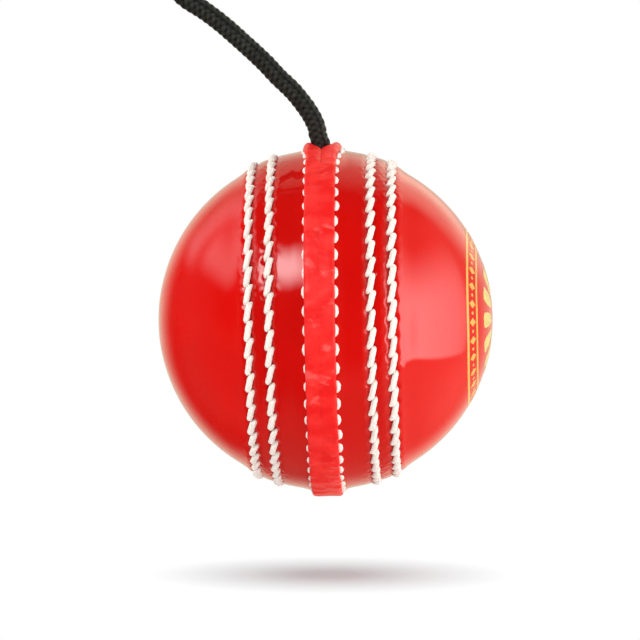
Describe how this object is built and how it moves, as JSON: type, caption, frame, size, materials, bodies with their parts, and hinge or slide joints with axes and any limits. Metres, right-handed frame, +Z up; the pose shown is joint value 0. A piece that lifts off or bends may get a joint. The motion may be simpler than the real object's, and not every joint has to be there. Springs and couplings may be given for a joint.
{
  "type": "hanging cricket ball",
  "caption": "Stitched leather practice ball with a raised seam, hung from a braided cord that is knotted inside its core and tied in a loop at the top.",
  "frame": {"origin": "the top of the tied loop's inside, where it bears on its hook", "axes": "+Z up along the hanging cord, the raised seam in the YZ plane, +X to the right as the picture shows the ball"},
  "size_m": [0.072, 0.076, 0.2292],
  "materials": {
    "lacquered_leather": "red leather, dyed and polished to a wet gloss",
    "welt_leather": "bright red leather strip, matte and creased at each stitch",
    "white_thread": "waxed off-white linen thread",
    "braided_cord": "black braided polyester cord",
    "wound_twine": "tightly wound worsted twine",
    "cork": "pressed cork",
    "core_compound": "cork and rubber compound",
    "washer_nylon": "natural nylon"
  },
  "bodies": {
    "loop": {"hang_loop": "braided_cord"},
    "neck": {"cord_neck": "braided_cord"},
    "cord": {"cord_run": "braided_cord"},
    "shank": {"cord_shank": "braided_cord", "anchor_washer": "washer_nylon", "anchor_knot": "braided_cord"},
    "ball": {"core": "core_compound", "inner_winding": "wound_twine", "cork_layer": "cork", "outer_winding": "wound_twine", "left_cover": "lacquered_leather", "right_cover": "lacquered_leather", "left_welt": "welt_leather", "right_welt": "welt_leather", "left_seam_stitches": "white_thread", "right_seam_stitches": "white_thread", "left_inner_stitches": "white_thread", "left_outer_stitches": "white_thread", "right_inner_stitches": "white_thread", "right_outer_stitches": "white_thread"}
  },
  "joints": [
    {"name": "sway", "type": "hinge", "parent": "loop", "child": "neck", "pos_m": [0, 0, -0.0383], "axis": [0, 1, 0], "range_deg": [-60, 60]},
    {"name": "swing", "type": "hinge", "parent": "neck", "child": "cord", "pos_m": [0, 0, -0.0503], "axis": [1, 0, 0], "range_deg": [-75, 75]},
    {"name": "nod", "type": "hinge", "parent": "cord", "child": "shank", "pos_m": [0, 0, -0.1476], "axis": [1, 0, 0], "range_deg": [-60, 60]},
    {"name": "spin", "type": "hinge", "parent": "shank", "child": "ball", "pos_m": [0, 0, -0.1872], "axis": [0, 0, 1], "continuous": true}
  ]
}
